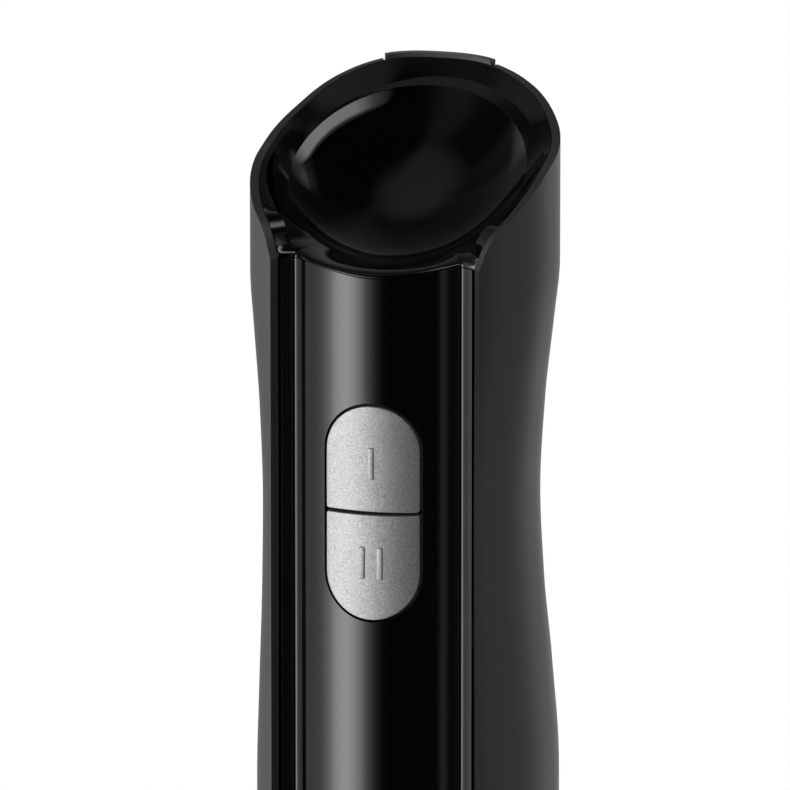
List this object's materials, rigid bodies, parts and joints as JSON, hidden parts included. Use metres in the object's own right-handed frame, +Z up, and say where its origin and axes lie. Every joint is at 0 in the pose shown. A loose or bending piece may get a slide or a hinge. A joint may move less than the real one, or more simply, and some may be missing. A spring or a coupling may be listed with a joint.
{
  "type": "immersion blender",
  "caption": "Hand-held immersion blender: sculpted handle with two speed buttons and a thumb dish, and a pull-off steel foot with bell and blade.",
  "frame": {"origin": "on the drive axis, in the plane of the bell's rim, which is what the blender stands on", "axes": "+Z up along the drive axis to the top of the handle, -Y out of the front panel, +X to the right of the front as it faces -Y"},
  "size_m": [0.068, 0.068, 0.392],
  "materials": {
    "soft_touch": "soft-touch matte",
    "gloss_black": "high gloss",
    "satin_black": "satin",
    "black_rubber": "matte",
    "silver_paint": "metallic paint, satin",
    "grey_button": "ribbed satin",
    "bright_trim": "polished",
    "steel": "brushed",
    "inner_plastic": "moulded",
    "board": "solder mask",
    "switch_plastic": "moulded",
    "pale_plastic": "moulded",
    "dog_plastic": "moulded",
    "laminations": "stacked sheet",
    "copper": "enamelled wire",
    "bracket_alloy": "die cast",
    "bearing_steel": "ground",
    "brass_parts": "plain",
    "carbon": "carbon block",
    "spring_steel": "drawn wire",
    "seal_rubber": "lip seal",
    "blade_steel": "ground edges"
  },
  "bodies": {
    "handle": {"grip_shell": "soft_touch", "top_cap": "gloss_black", "front_panel": "gloss_black", "rear_cover": "satin_black", "cord_gland": "black_rubber", "collar_ring": "satin_black", "socket_ring": "inner_plastic", "inner_chassis": "inner_plastic", "control_board": "board", "switch_one": "switch_plastic", "switch_two": "switch_plastic", "noise_filter": "switch_plastic", "terminal_block": "pale_plastic", "cord_clamp": "inner_plastic", "motor_ring": "black_rubber", "stator_core": "laminations", "field_coils": "copper", "upper_bracket": "bracket_alloy", "lower_bracket": "bracket_alloy", "upper_bearing": "bearing_steel", "lower_bearing": "bearing_steel", "brush_holders": "brass_parts", "carbon_brushes": "carbon", "brush_springs": "spring_steel", "motor_screws": "spring_steel", "casing_screws": "spring_steel", "latch_ring": "spring_steel", "release_spring_left": "spring_steel", "release_spring_right": "spring_steel", "button_spring_one": "spring_steel", "button_spring_two": "spring_steel"},
    "speed_button_one": {"speed_button_one": "silver_paint", "switch_plunger_one": "pale_plastic"},
    "speed_button_two": {"speed_button_two": "silver_paint", "switch_plunger_two": "pale_plastic"},
    "release_button_left": {"release_button_left": "grey_button"},
    "release_button_right": {"release_button_right": "grey_button"},
    "rotor": {"motor_shaft": "bearing_steel", "armature_core": "laminations", "armature_windings": "copper", "commutator": "copper", "cooling_fan": "pale_plastic", "drive_dog": "pale_plastic"},
    "foot": {"foot_hub": "gloss_black", "foot_spigot": "inner_plastic", "spigot_seal": "black_rubber", "collar_trim": "bright_trim", "shaft_tube": "steel", "bell": "steel", "bush_holder": "inner_plastic", "upper_bush": "brass_parts", "lower_bush": "brass_parts", "shaft_seal": "seal_rubber"},
    "blade_drive": {"driven_dog": "dog_plastic", "drive_shaft": "bearing_steel", "blade_washer": "bearing_steel", "blade": "blade_steel", "blade_nut": "bearing_steel"}
  },
  "joints": [
    {"name": "speed_one_press", "type": "slide", "parent": "handle", "child": "speed_button_one", "axis": [0, 1, 0], "range_m": [0, 0.0018], "stiffness_N_per_m": 1200, "springref_m": -0.0006, "deforming": ["button_spring_one"]},
    {"name": "speed_two_press", "type": "slide", "parent": "handle", "child": "speed_button_two", "axis": [0, 1, 0], "range_m": [0, 0.0018], "stiffness_N_per_m": 1200, "springref_m": -0.0006, "deforming": ["button_spring_two"]},
    {"name": "release_left_press", "type": "slide", "parent": "handle", "child": "release_button_left", "axis": [1, 0, 0], "range_m": [0, 0.0023], "stiffness_N_per_m": 1500, "springref_m": -0.001, "deforming": ["release_spring_left", "latch_ring"]},
    {"name": "release_right_press", "type": "slide", "parent": "handle", "child": "release_button_right", "axis": [-1, 0, 0], "range_m": [0, 0.0023], "stiffness_N_per_m": 1500, "springref_m": -0.001, "deforming": ["release_spring_right", "latch_ring"]},
    {"name": "rotor_spin", "type": "hinge", "parent": "handle", "child": "rotor", "pos_m": [0, 0, 0.24], "axis": [0, 0, 1], "continuous": true},
    {"name": "foot_pull_off", "type": "slide", "parent": "handle", "child": "foot", "axis": [0, 0, -1], "range_m": [0, 0.07], "deforming": ["latch_ring"]},
    {"name": "blade_spin", "type": "hinge", "parent": "foot", "child": "blade_drive", "pos_m": [0, 0, 0.1], "axis": [0, 0, 1], "continuous": true}
  ],
  "couplings": [
    {"joint": "blade_spin", "follows": "rotor_spin", "ratio": 1}
  ]
}
